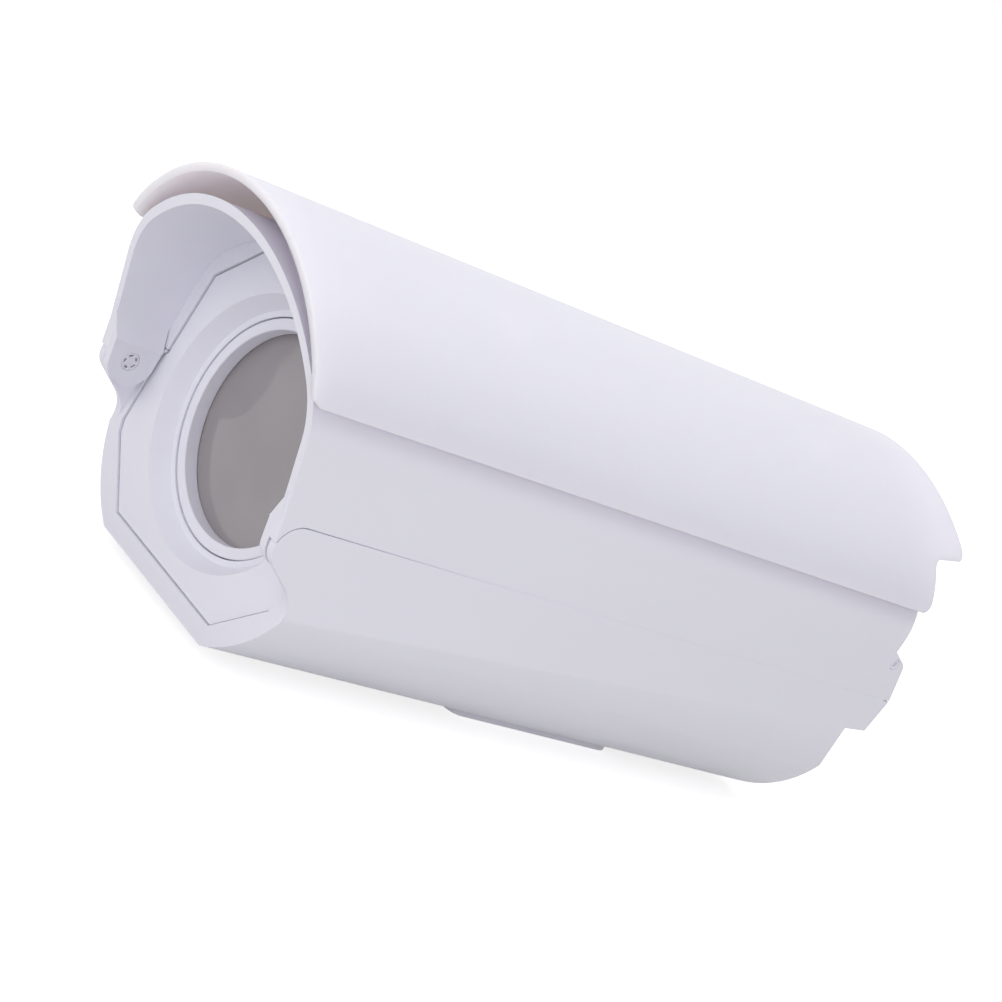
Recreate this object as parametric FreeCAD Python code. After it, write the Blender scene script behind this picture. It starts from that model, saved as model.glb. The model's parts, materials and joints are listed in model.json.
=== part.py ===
"""Camera housing for a fixed security camera: a tube split along its length.

The lower body is a moulded trough that carries the front cap with its window,
the rear cap with two cable glands, and the mounting plate under the floor.
The upper cover is an arched shell with a visor. It turns on two pins in the
front ears of the trough and is locked at the rear by a screw on each side.
A thin sunshield stands off the cover on four bosses.

Millimetres. Z is up, the window looks along -Y, and X is across.
The origin is the centre of the underside of the mounting plate.
"""
import FreeCAD, Part
import math
import os

V = FreeCAD.Vector

# Section of the tube
HALF_WIDTH = 56.2
WALL = 3.0
MOUNT_PLATE_THICKNESS = 4.0
SEAM_HEIGHT = 58.1
SEAM_GAP = 0.4
SHOULDER_HEIGHT = 28.5
SHOULDER_RUN = 24.0
SHOULDER_BULGE = 3.0
ARCH_SPRING_RISE = 23.0
ARCH_HEIGHT = 37.9
ARCH_CORNER_RADIUS = 24.0

# Lengths along the tube
WINDOW_TO_MOUNT = 142.0
FRONT_FACE_TO_WINDOW = 7.4
BODY_LENGTH = 252.3
VISOR_REACH = 19.9
VISOR_RAKE = 0.315
VISOR_CORNER_RISE = 2.8
VISOR_CORNER_RUN = 0.7

# Front ears and the hinge
EAR_RADIUS = 7.3
PIVOT_FORWARD = 9.5
EAR_FOOT_DROP = 22.6
EAR_FOOT_BLEND = 5.5
TONGUE_THICKNESS = 3.0
TONGUE_GAP = 0.6
TONGUE_RADIUS = 7.6
TONGUE_HEEL_RADIUS = 9.1
TONGUE_HEEL_ANGLE = -75.0
TONGUE_SETBACK = 1.1
CHEEK_ANGLE = 174.0
CHEEK_TIP = 0.5
TONGUE_CORNER_DROP = 1.5
TONGUE_TOP_RISE = 1.8
GUSSET_DROP = 2.2
GUSSET_RISE = 8.0
GUSSET_STEP = 0.3
PIN_RADIUS = 3.0
PIN_DEPTH_IN_EAR = 2.0
PIN_FIT = 0.08
PIN_SLOTS = 5
PIN_SLOT_OUTER_RADIUS = 2.4
PIN_SLOT_INNER_RADIUS = 1.7
PIN_SLOT_ANGLE = 40.0
PIN_SLOT_DEPTH = 1.5

# Front lips, cap and window
LIP_THICKNESS = 3.0
FRONT_SEAL_THICKNESS = 1.5
CAP_RIM_THICKNESS = 3.0
CAP_FACE_SETBACK = 0.8
CAP_GROOVE = 0.5
CAP_INSET = 0.6
CAP_FLOOR_MARGIN = 1.5
CAP_FLOOR_RISE = 6.5
CAP_CORNER_MARGIN = 7.1
CAP_CORNER_RISE = 24.3
CAP_LOWER_MARGIN = 5.5
CAP_LOWER_RISE = 28.0
CAP_UPPER_MARGIN = 7.3
CAP_JOG = 1.2
CAP_JOG_DROP = 2.0
CAP_EAVE_MARGIN = 8.2
CAP_EAVE_RISE = 27.4
CAP_TOP_MARGIN = 25.8
CAP_TOP_CLEARANCE = 5.9
CAP_POCKET_MARGIN = 6.0
WINDOW_BORE_RADIUS = 37.0
RECESS_MOUTH_RADIUS = 42.5
RECESS_FOOT_RADIUS = 38.9
RECESS_DEPTH = 5.8
WINDOW_TUBE_WALL = 3.5
RING_FIT = 0.3
RING_WIDTH = 3.7
RING_FACE_TO_GLASS = 5.2
RING_SETBACK = 0.3
GLASS_THICKNESS = 3.0
GLASS_FIT = 0.5
WINDOW_GASKET_THICKNESS = 1.5
WINDOW_LEDGE_RADIUS = 32.0
WINDOW_LEDGE_THICKNESS = 2.5
CAP_FOOT_LENGTH = 14.0
CAP_FOOT_MARGIN = 4.0
CAP_FOOT_THICKNESS = 3.0
CAP_BOSS_HEIGHT = 3.0
CAP_BOSS_RADIUS = 4.5
CAP_SCREW_MARGIN = 8.0
CAP_SCREW_BACK = 7.0
CAP_HOLE_DEPTH = 1.0

# Seam ledges and their gaskets
LEDGE_WIDTH = 4.0
LEDGE_THICKNESS = 2.5
LEDGE_DROP = 2.6
LEDGE_END_MARGIN = 10.0
SEAM_GASKET_FIT = 0.3
FLANGE_SWING_CLEARANCE = 1.0

# Rear end
REAR_RIB_SETBACK = 10.5
REAR_RIB_WIDTH = 5.0
REAR_SEAL_THICKNESS = 2.0
REAR_SEAL_FIT = 0.1
REAR_CAP_SETBACK = 4.0
REAR_BOSS_RADIUS = 4.0
REAR_BOSS_LENGTH = 7.5
REAR_SCREW_STOP = 1.0
REAR_SIDE_SCREW_MARGIN = 10.0
REAR_SIDE_SCREW_DROP = 13.1
REAR_FLOOR_SCREW_MARGIN = 10.0
REAR_FLOOR_SCREW_RISE = 7.0
LUG_LENGTH = 12.3
LUG_TOP_RISE = 18.0
LUG_SHOULDER_RISE = 14.0
LUG_SHOULDER_BACK = 8.0
LUG_SHOULDER_RADIUS = 5.0
LUG_DROP = 13.7
LUG_FOOT_BACK = 10.2
LUG_FOOT_RISE = 1.0
LOCK_BACK = 2.9
LOCK_RISE = 13.5
LOCK_POST_THICKNESS = 3.5
LOCK_POST_RISE = 14.9
LOCK_POST_LENGTH = 6.0
LOCK_POST_STEP = 1.0
LOCK_SLOT_WIDTH = 3.4

# Cable glands
GLAND_HALF_SPAN = 20.0
GLAND_HEIGHT = 36.0
GLAND_THREAD_RADIUS = 8.0
GLAND_THREAD_FIT = 0.1
GLAND_HEX = 22.0
GLAND_HEX_LENGTH = 5.0
GLAND_NECK_LENGTH = 8.0
GLAND_NUT_LENGTH = 12.0
GLAND_NUT_FIT = 0.3
GLAND_NUT_MOUTH_RADIUS = 5.4
GLAND_NUT_DOME_RADIUS = 16.2
GLAND_NUT_DOME_SHIFT = 3.0
GLAND_CABLE_RADIUS = 4.0
GLAND_SEAL_WALL = 1.8
GLAND_LOCKNUT_THICKNESS = 4.0
GLAND_THREAD_END = 1.5

# Screws
SCREW_FIT = 0.08
M3_RADIUS = 1.5
M3_HEAD_RADIUS = 2.5
M3_HEAD_HEIGHT = 1.8
M4_RADIUS = 2.0
M4_HEAD_RADIUS = 3.6
M4_HEAD_HEIGHT = 2.4
DRIVE_RADIUS = 1.1
DRIVE_DEPTH = 1.1
LOCK_SCREW_RADIUS = 1.25
LOCK_HEAD_RADIUS = 1.9
LOCK_HEAD_HEIGHT = 1.6
LOCK_HEAD_FIT = 0.1
LOCK_NUT_WIDTH = 5.0
LOCK_NUT_THICKNESS = 2.0
LOCK_SCREW_END = 1.0
FLAT_GAP = 0.2

# Mounting plate
MOUNT_PLATE_LENGTH = 78.0
MOUNT_PLATE_MARGIN = 4.2
MOUNT_PLATE_CORNER = 6.0
MOUNT_THREAD_RADIUS = 2.1
MOUNT_THREAD_PITCH = 25.0
BACKING_LENGTH = 70.0
BACKING_WIDTH = 50.0
BACKING_THICKNESS = 3.0
BACKING_SCREW_HALF_SPAN = 19.0
BACKING_SCREW_HALF_LENGTH = 28.0
BACKING_SCREW_STOP = 1.0

# Camera tray and its rails
RAIL_INNER_HALF = 26.0
RAIL_THICKNESS = 3.0
RAIL_HOOK = 3.0
RAIL_HOOK_THICKNESS = 2.0
RAIL_GROOVE_HEIGHT = 17.1
RAIL_LEDGE_THICKNESS = 2.6
RAIL_FRONT_CLEARANCE = 22.9
RAIL_REAR_CLEARANCE = 12.6
TRAY_THICKNESS = 2.6
TRAY_FIT = 0.1
TRAY_SIDE_FIT = 0.3
TRAY_FRONT_CLEARANCE = 17.9
TRAY_LENGTH = 150.0
TRAY_SLOT_LENGTH = 80.0
TRAY_SLOT_FIT = 0.3
CAMERA_SCREW_BACK = 80.0
CAMERA_SCREW_RADIUS = 3.1
CAMERA_SCREW_LENGTH = 10.0
CAMERA_SCREW_HEAD_RADIUS = 8.0
CAMERA_SCREW_HEAD_HEIGHT = 3.0

# Sunshield
SHIELD_SIDE_OVERHANG = 2.7
SHIELD_TOP_GAP = 7.2
SHIELD_SPRING_RISE = 24.5
SHIELD_ARCH_CORNER_RADIUS = 34.0
SHIELD_THICKNESS = 2.6
SHIELD_EDGE_RISE = 34.7
SHIELD_FRONT_OVERHANG = 32.4
SHIELD_FRONT_RAKE = 0.24
SHIELD_REAR_OVERHANG = 1.2
SHIELD_REAR_RAKE = 0.4
SHIELD_REAR_STEP_RISE = 50.8
SHIELD_REAR_STEP_SLOPE = 2.0
SHIELD_REAR_STEP_LENGTH = 18.9
SHIELD_CORNER_RADIUS = 4.0
SHIELD_STEP_RADIUS = 3.0
SHIELD_BOSS_HALF_SPAN = 22.0
SHIELD_BOSS_FRONT_Y = -100.0
SHIELD_BOSS_REAR_Y = 50.0
SHIELD_BOSS_RADIUS = 5.0
COVER_PAD_RADIUS = 6.0
COVER_PAD_DROP = 1.4
COVER_PAD_HEIGHT = 7.7
SHIELD_SCREW_LENGTH = 10.5

# Places and sizes that follow from those above
FLOOR_HALF_WIDTH = HALF_WIDTH - SHOULDER_RUN
CAP_FLOOR_HALF = FLOOR_HALF_WIDTH - CAP_FLOOR_MARGIN
CAP_CORNER_HALF = HALF_WIDTH - CAP_CORNER_MARGIN
CAP_LOWER_HALF = HALF_WIDTH - CAP_LOWER_MARGIN
CAP_UPPER_HALF = HALF_WIDTH - CAP_UPPER_MARGIN
CAP_EAVE_HALF = HALF_WIDTH - CAP_EAVE_MARGIN
CAP_TOP_HALF = HALF_WIDTH - CAP_TOP_MARGIN
CAP_FOOT_HALF = FLOOR_HALF_WIDTH - CAP_FOOT_MARGIN
CAP_SCREW_HALF_SPAN = CAP_FOOT_HALF - CAP_SCREW_MARGIN
MOUNT_PLATE_WIDTH = 2 * (FLOOR_HALF_WIDTH - MOUNT_PLATE_MARGIN)
ARCH_TOP_RISE = ARCH_SPRING_RISE + ARCH_HEIGHT
COVER_PAD_RISE = ARCH_TOP_RISE - COVER_PAD_DROP
SHIELD_HALF_WIDTH = HALF_WIDTH + SHIELD_SIDE_OVERHANG
SHIELD_ARCH_HEIGHT = ARCH_TOP_RISE + SHIELD_TOP_GAP + SHIELD_THICKNESS - SHIELD_SPRING_RISE
FLOOR_TOP = MOUNT_PLATE_THICKNESS + WALL
CAP_FOOT_UNDERSIDE = FLOOR_TOP + CAP_BOSS_HEIGHT
CAP_FOOT_TOP = CAP_FOOT_UNDERSIDE + CAP_FOOT_THICKNESS
COVER_BOTTOM = SEAM_HEIGHT + SEAM_GAP
AXIS_HEIGHT = COVER_BOTTOM
ARCH_SPRING = COVER_BOTTOM + ARCH_SPRING_RISE
WINDOW_Y = -WINDOW_TO_MOUNT
FRONT_FACE = WINDOW_Y - FRONT_FACE_TO_WINDOW
REAR_FACE = FRONT_FACE + BODY_LENGTH
PIVOT_Y = FRONT_FACE - PIVOT_FORWARD
PIVOT_Z = SEAM_HEIGHT - EAR_RADIUS
LIP_BACK = FRONT_FACE + LIP_THICKNESS
CAP_RIM_FRONT = LIP_BACK + FRONT_SEAL_THICKNESS
CAP_RIM_BACK = CAP_RIM_FRONT + CAP_RIM_THICKNESS
CAP_FACE = FRONT_FACE + CAP_FACE_SETBACK
RECESS_FOOT = CAP_FACE + RECESS_DEPTH
RING_FACE = RECESS_FOOT + RING_SETBACK
GLASS_FRONT = RING_FACE + RING_FACE_TO_GLASS
GLASS_BACK = GLASS_FRONT + GLASS_THICKNESS
GASKET_BACK = GLASS_BACK + WINDOW_GASKET_THICKNESS
LEDGE_BACK = GASKET_BACK + WINDOW_LEDGE_THICKNESS
RIB_FRONT = REAR_FACE - REAR_RIB_SETBACK - LIP_THICKNESS
RIB_BACK = REAR_FACE - REAR_RIB_SETBACK
REAR_CAP_FRONT = RIB_BACK + REAR_SEAL_THICKNESS
REAR_CAP_BACK = REAR_FACE - REAR_CAP_SETBACK
GLAND_HEX_BACK = REAR_CAP_BACK + GLAND_HEX_LENGTH
GLAND_NECK_BACK = GLAND_HEX_BACK + GLAND_NECK_LENGTH
GLAND_HOLE_RADIUS = GLAND_THREAD_RADIUS + GLAND_THREAD_FIT
GLAND_SEAL_RADIUS = GLAND_CABLE_RADIUS + GLAND_SEAL_WALL
LOCK_Y = REAR_FACE + LOCK_BACK
CAP_FOOT_BACK = CAP_RIM_BACK + CAP_FOOT_LENGTH
REAR_BOSS_FRONT = RIB_BACK - REAR_BOSS_LENGTH
RAIL_FRONT = CAP_FOOT_BACK + RAIL_FRONT_CLEARANCE
RAIL_REAR = REAR_BOSS_FRONT - RAIL_REAR_CLEARANCE
TRAY_FRONT = CAP_FOOT_BACK + TRAY_FRONT_CLEARANCE
CAMERA_SCREW_Y = TRAY_FRONT + CAMERA_SCREW_BACK
LOCK_Z = COVER_BOTTOM + LOCK_RISE
INNER_HALF = HALF_WIDTH - WALL
TONGUE_OUTER = INNER_HALF - TONGUE_GAP
VISOR_FRONT = FRONT_FACE - VISOR_REACH
TONGUE_INNER = TONGUE_OUTER - TONGUE_THICKNESS
PIN_HOLE_END = TONGUE_OUTER + FLAT_GAP
LOCK_SEAT = HALF_WIDTH - LOCK_HEAD_HEIGHT
LOCK_NUT_OUTER = TONGUE_OUTER - LOCK_POST_THICKNESS - FLAT_GAP
LOCK_NUT_INNER = LOCK_NUT_OUTER - LOCK_NUT_THICKNESS
COVER_PAD_TOP = COVER_BOTTOM + COVER_PAD_RISE
COVER_PAD_FOOT = COVER_PAD_TOP - COVER_PAD_HEIGHT
SHIELD_SCREW_TOP = COVER_PAD_FOOT + SHIELD_SCREW_LENGTH
BACKING_TOP = FLOOR_TOP + BACKING_THICKNESS
SHIELD_SKIN = SHIELD_THICKNESS / 4
DOWN = (0, 0, -1)
M3_SIZES = (M3_RADIUS, M3_HEAD_RADIUS, M3_HEAD_HEIGHT)
M4_SIZES = (M4_RADIUS, M4_HEAD_RADIUS, M4_HEAD_HEIGHT)

# Working lengths: beyond any end of the housing, beyond a face that is cut, and between points that coincide
REACH = 400.0
OVERCUT = 1.0
SAME_PLACE = 0.01


def on_section(x, z):
    """A point of a cross section, given as across and height."""
    return V(x, 0, z)


def line(a, b):
    return Part.LineSegment(a, b).toShape()


def polygon(points):
    return Part.makePolygon(points + [points[0]])


def along_y(wire, start, end):
    """Extrude a closed wire of the XZ plane between two places along the tube."""
    face = Part.Face(wire)
    face.translate(V(0, start, 0))
    return face.extrude(V(0, end - start, 0))


def along_x(points, start, end):
    """Extrude an outline, given as (y, z) pairs, between two places across the tube."""
    face = Part.Face(polygon([V(start, y, z) for y, z in points]))
    return face.extrude(V(end - start, 0, 0))


def box(x0, x1, y0, y1, z0, z1):
    return Part.makeBox(x1 - x0, y1 - y0, z1 - z0, V(x0, y0, z0))


def rod_y(radius, y0, y1, x, z):
    return Part.makeCylinder(radius, y1 - y0, V(x, y0, z), V(0, 1, 0))


def rod_z(radius, z0, z1, x, y):
    return Part.makeCylinder(radius, z1 - z0, V(x, y, z0), V(0, 0, 1))


def rod_x(radius, x0, x1, y, z):
    return Part.makeCylinder(radius, x1 - x0, V(x0, y, z), V(1, 0, 0))


def mirrored(shape):
    return shape.mirror(V(0, 0, 0), V(1, 0, 0))


def both_sides(shape):
    """The shape and its mirror image across the tube, as a list."""
    return [shape, mirrored(shape)]


def fused(parts):
    first, rest = parts[0], parts[1:]
    whole = first.multiFuse(rest) if rest else first
    return whole.removeSplitter()


def shoulder_centre():
    """Centre and radius of the arc that joins the side of the trough to its floor."""
    top = V(HALF_WIDTH, 0, SHOULDER_HEIGHT)
    foot = V(FLOOR_HALF_WIDTH, 0, MOUNT_PLATE_THICKNESS)
    chord = foot - top
    half = chord.Length / 2
    radius = (half ** 2 + SHOULDER_BULGE ** 2) / (2 * SHOULDER_BULGE)
    outward = V(-chord.z, 0, chord.x).normalize()
    centre = (top + foot) * 0.5 - outward * (radius - SHOULDER_BULGE)
    return centre, radius


def shoulder_points(inset):
    """Side, middle and floor points of the shoulder arc, moved inward by inset."""
    centre, outer_radius = shoulder_centre()
    radius = outer_radius - inset
    side_x = HALF_WIDTH - inset
    floor_z = MOUNT_PLATE_THICKNESS + inset
    side_z = centre.z - math.sqrt(radius ** 2 - (side_x - centre.x) ** 2)
    floor_x = centre.x + math.sqrt(radius ** 2 - (floor_z - centre.z) ** 2)
    side = V(side_x, 0, side_z)
    floor = V(floor_x, 0, floor_z)
    middle = centre + ((side + floor) * 0.5 - centre).normalize() * radius
    return side, middle, floor


def flip(point):
    return V(-point.x, point.y, point.z)


def lower_edges(inset, top):
    """Edges of the trough section, from the left top round the floor to the right top."""
    side, middle, floor = shoulder_points(inset)
    left_top = V(-side.x, 0, top)
    right_top = V(side.x, 0, top)
    return [
        line(left_top, flip(side)),
        Part.Arc(flip(side), flip(middle), flip(floor)).toShape(),
        line(flip(floor), floor),
        Part.Arc(floor, middle, side).toShape(),
        line(side, right_top),
    ]


def crown_radius(half, height, corner):
    """Radius of the crown arc that is tangent to both corner arcs of an arch."""
    side = half - corner
    return (side ** 2 + height ** 2 - corner ** 2) / (2 * (height - corner))


def arch_edges(half, height, corner, spring, inset):
    """Three-centred arch: a crown arc between two corner arcs, moved inward by inset."""
    corner_centre = V(half - corner, 0, spring)
    crown = crown_radius(half, height, corner)
    crown_centre = V(0, 0, spring + height - crown)
    joint_way = (corner_centre - crown_centre).normalize()
    joint = crown_centre + joint_way * (crown - inset)
    middle_way = (joint_way + V(1, 0, 0)).normalize()
    middle = corner_centre + middle_way * (corner - inset)
    foot = V(half - inset, 0, spring)
    top = V(0, 0, spring + height - inset)
    return [
        Part.Arc(foot, middle, joint).toShape(),
        Part.Arc(joint, top, flip(joint)).toShape(),
        Part.Arc(flip(joint), flip(middle), flip(foot)).toShape(),
    ]


def cover_arch(inset):
    return arch_edges(HALF_WIDTH, ARCH_HEIGHT, ARCH_CORNER_RADIUS, ARCH_SPRING, inset)


def crown_height(x):
    """Height of the outside of the cover's crown arc at x across the tube."""
    crown = crown_radius(HALF_WIDTH, ARCH_HEIGHT, ARCH_CORNER_RADIUS)
    return COVER_BOTTOM + ARCH_TOP_RISE - crown + math.sqrt(crown ** 2 - x ** 2)


def lower_section(inset, top):
    edges = lower_edges(inset, top)
    side = HALF_WIDTH - inset
    edges.append(line(V(side, 0, top), V(-side, 0, top)))
    return Part.Wire(Part.__sortEdges__(edges))


def cover_section(inset, bottom):
    side = HALF_WIDTH - inset
    edges = [
        line(V(-side, 0, bottom), V(side, 0, bottom)),
        line(V(side, 0, bottom), V(side, 0, ARCH_SPRING)),
        line(V(-side, 0, ARCH_SPRING), V(-side, 0, bottom)),
    ]
    edges += cover_arch(inset)
    return Part.Wire(Part.__sortEdges__(edges))


def full_section(inset):
    """Closed section of the shut tube, moved inward by inset."""
    edges = lower_edges(inset, ARCH_SPRING) + cover_arch(inset)
    return Part.Wire(Part.__sortEdges__(edges))


def cap_outline(offset):
    """Outline of the raised face of the front cap, grown by offset."""
    floor = MOUNT_PLATE_THICKNESS
    jog = COVER_BOTTOM - CAP_JOG_DROP
    half = [
        (CAP_FLOOR_HALF, floor + CAP_FLOOR_RISE),
        (CAP_CORNER_HALF, floor + CAP_CORNER_RISE),
        (CAP_LOWER_HALF, floor + CAP_LOWER_RISE),
        (CAP_LOWER_HALF, jog - CAP_JOG),
        (CAP_UPPER_HALF, jog + CAP_JOG),
        (CAP_EAVE_HALF, COVER_BOTTOM + CAP_EAVE_RISE),
        (CAP_TOP_HALF, crown_height(CAP_TOP_HALF) - CAP_TOP_CLEARANCE),
    ]
    right = [on_section(x, z) for x, z in half]
    left = [on_section(-x, z) for x, z in reversed(half)]
    wire = polygon(right + left)
    if offset == 0:
        return wire
    return wire.makeOffset2D(offset, 2)


def screw_along(sizes, length, place, direction):
    """Screw whose head sits on place and whose shank runs from there in direction.

    Sizes are the shank radius, the head radius and the head height.
    """
    radius, head_radius, head_height = sizes
    way = V(*direction)
    seat = V(*place)
    shank = Part.makeCylinder(radius, length, seat, way)
    head = Part.makeCylinder(head_radius, head_height, seat - way * head_height, way)
    drive = Part.makeCylinder(DRIVE_RADIUS, DRIVE_DEPTH, seat - way * head_height, way)
    return shank.fuse(head).removeSplitter().cut(drive)


def hex_along_y(width, y0, y1, x, z):
    """Hexagon of the given width across flats."""
    radius = width / math.sqrt(3)
    points = []
    for i in range(6):
        angle = math.radians(60 * i)
        points.append(V(x + radius * math.cos(angle), 0, z + radius * math.sin(angle)))
    return along_y(polygon(points), y0, y1)


def touch_point(radius, y, z, turn):
    """Where a line from (y, z) touches the circle of the given radius about the pivot.

    Turn is 1 or -1 and picks the side of the circle.
    """
    away = math.hypot(y - PIVOT_Y, z - PIVOT_Z)
    angle = math.atan2(z - PIVOT_Z, y - PIVOT_Y) + turn * math.acos(radius / away)
    return PIVOT_Y + radius * math.cos(angle), PIVOT_Z + radius * math.sin(angle)


def on_side(place, x):
    """A point of a side view, given as a (y, z) pair, at x across the tube."""
    return V(x, place[0], place[1])


def blended_web(tip, foot, x):
    """Side view of the web of an ear, blended by an arc into the front of the trough."""
    corner = V(x, FRONT_FACE, foot)
    along = (on_side(tip, x) - corner).normalize()
    down = V(0, 0, -1)
    middle_way = (along + down).normalize()
    half_angle = along.getAngle(down) / 2
    radius = EAR_FOOT_BLEND * math.tan(half_angle)
    middle = corner + middle_way * (EAR_FOOT_BLEND / math.cos(half_angle) - radius)
    start = corner + along * EAR_FOOT_BLEND
    end = corner + down * EAR_FOOT_BLEND
    path = [end, V(x, FRONT_FACE + WALL, end.z), V(x, FRONT_FACE + WALL, SEAM_HEIGHT),
            V(x, PIVOT_Y, SEAM_HEIGHT), V(x, PIVOT_Y, PIVOT_Z), on_side(tip, x), start]
    edges = [line(a, b) for a, b in zip(path, path[1:])]
    edges.append(Part.Arc(start, middle, end).toShape())
    return Part.Face(Part.Wire(Part.__sortEdges__(edges)))


def front_ear():
    """Ear of the trough: round end about the pivot on a web that slopes to its foot."""
    foot = SEAM_HEIGHT - EAR_FOOT_DROP
    tip = touch_point(EAR_RADIUS, FRONT_FACE, foot, -1)
    web = blended_web(tip, foot, INNER_HALF).extrude(V(WALL, 0, 0))
    round_end = rod_x(EAR_RADIUS, INNER_HALF, HALF_WIDTH, PIVOT_Y, PIVOT_Z)
    return fused([round_end, web])


def tongue_heel(outer):
    """Rear of the round end of the tongue, which fills the space up to the front flange."""
    foot = touch_point(EAR_RADIUS, FRONT_FACE, SEAM_HEIGHT - EAR_FOOT_DROP, -1)
    scale = TONGUE_RADIUS / EAR_RADIUS
    angle = math.radians(TONGUE_HEEL_ANGLE)
    rear = PIVOT_Y + TONGUE_HEEL_RADIUS
    side = [
        (PIVOT_Y, PIVOT_Z),
        (rear, PIVOT_Z),
        (rear, PIVOT_Z - TONGUE_HEEL_RADIUS),
        (PIVOT_Y + TONGUE_HEEL_RADIUS * math.cos(angle), PIVOT_Z + TONGUE_HEEL_RADIUS * math.sin(angle)),
        (PIVOT_Y + scale * (foot[0] - PIVOT_Y), PIVOT_Z + scale * (foot[1] - PIVOT_Z)),
    ]
    disc = rod_x(TONGUE_HEEL_RADIUS, TONGUE_INNER, outer, PIVOT_Y, PIVOT_Z)
    return disc.common(along_x(side, TONGUE_INNER, outer))


def tongue():
    """Hinge tongue beside the ear, with the gusset that joins it to the side of the cover."""
    corner_y = VISOR_FRONT + TONGUE_SETBACK
    corner_z = COVER_BOTTOM - TONGUE_CORNER_DROP
    notch_z = COVER_BOTTOM + TONGUE_TOP_RISE
    top = COVER_BOTTOM + GUSSET_RISE
    rear = PIVOT_Y + TONGUE_HEEL_RADIUS
    side = [
        (corner_y, corner_z),
        (VISOR_FRONT, notch_z),
        (VISOR_FRONT - VISOR_RAKE * (top - notch_z), top),
        (rear, top),
        (rear, PIVOT_Z),
        (PIVOT_Y, PIVOT_Z),
        touch_point(TONGUE_RADIUS, corner_y, corner_z, 1),
    ]
    outer = INNER_HALF + WALL / 2
    foot = PIVOT_Z - TONGUE_HEEL_RADIUS - OVERCUT
    crease = COVER_BOTTOM - GUSSET_DROP
    round_end = rod_x(TONGUE_RADIUS, TONGUE_INNER, outer, PIVOT_Y, PIVOT_Z)
    plate = fused([round_end, tongue_heel(outer), along_x(side, TONGUE_INNER - GUSSET_STEP, outer)])
    section = [
        on_section(TONGUE_INNER - GUSSET_STEP, crease),
        on_section(TONGUE_INNER, crease),
        on_section(TONGUE_INNER, foot),
        on_section(TONGUE_OUTER, foot),
        on_section(TONGUE_OUTER, COVER_BOTTOM),
        on_section(outer, COVER_BOTTOM),
        on_section(outer, top),
    ]
    return plate.common(along_y(polygon(section), VISOR_FRONT - REACH, rear + OVERCUT))


def cheek():
    """Front corner of the side of the cover, which reaches down round the end of the ear."""
    angle = math.radians(CHEEK_ANGLE)
    gap_radius = EAR_RADIUS + SEAM_GAP
    tip_radius = gap_radius + CHEEK_TIP
    side = [
        (PIVOT_Y, COVER_BOTTOM + OVERCUT),
        (VISOR_FRONT + VISOR_CORNER_RUN, COVER_BOTTOM + OVERCUT),
        (VISOR_FRONT + VISOR_CORNER_RUN, COVER_BOTTOM),
        (PIVOT_Y + tip_radius * math.cos(angle), PIVOT_Z + tip_radius * math.sin(angle)),
        (PIVOT_Y, PIVOT_Z),
    ]
    inner = TONGUE_OUTER - OVERCUT
    plate = along_x(side, inner, HALF_WIDTH)
    return plate.cut(rod_x(gap_radius, inner - OVERCUT, HALF_WIDTH + OVERCUT, PIVOT_Y, PIVOT_Z))


def rear_screw_places():
    side_x = HALF_WIDTH - REAR_SIDE_SCREW_MARGIN
    side_z = SEAM_HEIGHT - REAR_SIDE_SCREW_DROP
    floor_x = FLOOR_HALF_WIDTH - REAR_FLOOR_SCREW_MARGIN
    floor_z = FLOOR_TOP + REAR_FLOOR_SCREW_RISE
    right = [(side_x, side_z), (floor_x, floor_z)]
    left = [(-x, z) for x, z in right]
    return right + left


def cap_screw_places():
    y = CAP_RIM_BACK + CAP_SCREW_BACK
    return [(-CAP_SCREW_HALF_SPAN, y), (CAP_SCREW_HALF_SPAN, y)]


def backing_screw_places():
    xs = (-BACKING_SCREW_HALF_SPAN, BACKING_SCREW_HALF_SPAN)
    ys = (-BACKING_SCREW_HALF_LENGTH, BACKING_SCREW_HALF_LENGTH)
    return [(x, y) for x in xs for y in ys]


def mount_thread_places():
    return [-MOUNT_THREAD_PITCH, 0.0, MOUNT_THREAD_PITCH]


def shield_screw_places():
    xs = (-SHIELD_BOSS_HALF_SPAN, SHIELD_BOSS_HALF_SPAN)
    ys = (SHIELD_BOSS_FRONT_Y, SHIELD_BOSS_REAR_Y)
    return [(x, y) for x in xs for y in ys]


def rail():
    """Rail of one side: upright wall, lower ledge and upper hook for the edge of the tray."""
    groove_top = RAIL_GROOVE_HEIGHT + TRAY_THICKNESS + 2 * TRAY_FIT
    hook_top = groove_top + RAIL_HOOK_THICKNESS
    ledge_foot = RAIL_GROOVE_HEIGHT - RAIL_LEDGE_THICKNESS
    inner = RAIL_INNER_HALF - RAIL_HOOK
    outer = RAIL_INNER_HALF + RAIL_THICKNESS
    root = RAIL_INNER_HALF + OVERCUT
    wall = box(RAIL_INNER_HALF, outer, RAIL_FRONT, RAIL_REAR, FLOOR_TOP - OVERCUT, hook_top)
    ledge = box(inner, root, RAIL_FRONT, RAIL_REAR, ledge_foot, RAIL_GROOVE_HEIGHT)
    hook = box(inner, root, RAIL_FRONT, RAIL_REAR, groove_top, hook_top)
    return wall.multiFuse([ledge, hook])


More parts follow.
